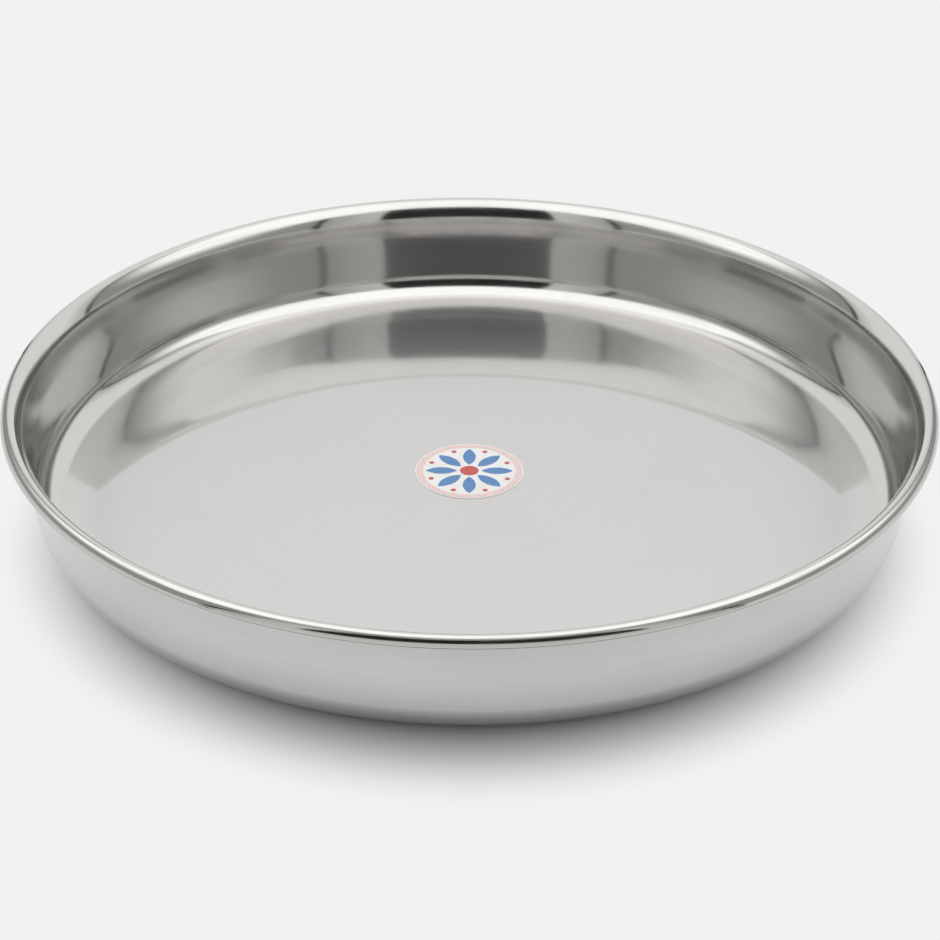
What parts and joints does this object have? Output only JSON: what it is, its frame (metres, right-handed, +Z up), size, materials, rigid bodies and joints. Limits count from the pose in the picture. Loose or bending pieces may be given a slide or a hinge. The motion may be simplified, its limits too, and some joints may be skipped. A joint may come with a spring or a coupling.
{
  "type": "thali plate",
  "caption": "Round stainless steel thali plate with a flat floor, upright wall and outward rolled lip, and a small printed paper label stuck on the floor, for serving food.",
  "frame": {"origin": "middle of the underside, on the surface that the plate stands on", "axes": "+Z up along the plate's axis, -Y towards the front of the picture, +X to the right of the picture"},
  "size_m": [0.305, 0.305, 0.04],
  "materials": {
    "steel": "bright polished",
    "glue": "dull",
    "paper": "coated paper",
    "ink_pale_red": "printed",
    "ink_blue": "printed",
    "ink_red": "printed"
  },
  "bodies": {
    "root": {"plate_body": "steel", "label_adhesive": "glue", "label_face": "paper", "label_border_print": "ink_pale_red", "label_petal_print": "ink_blue", "label_dot_print": "ink_red"}
  },
  "joints": []
}
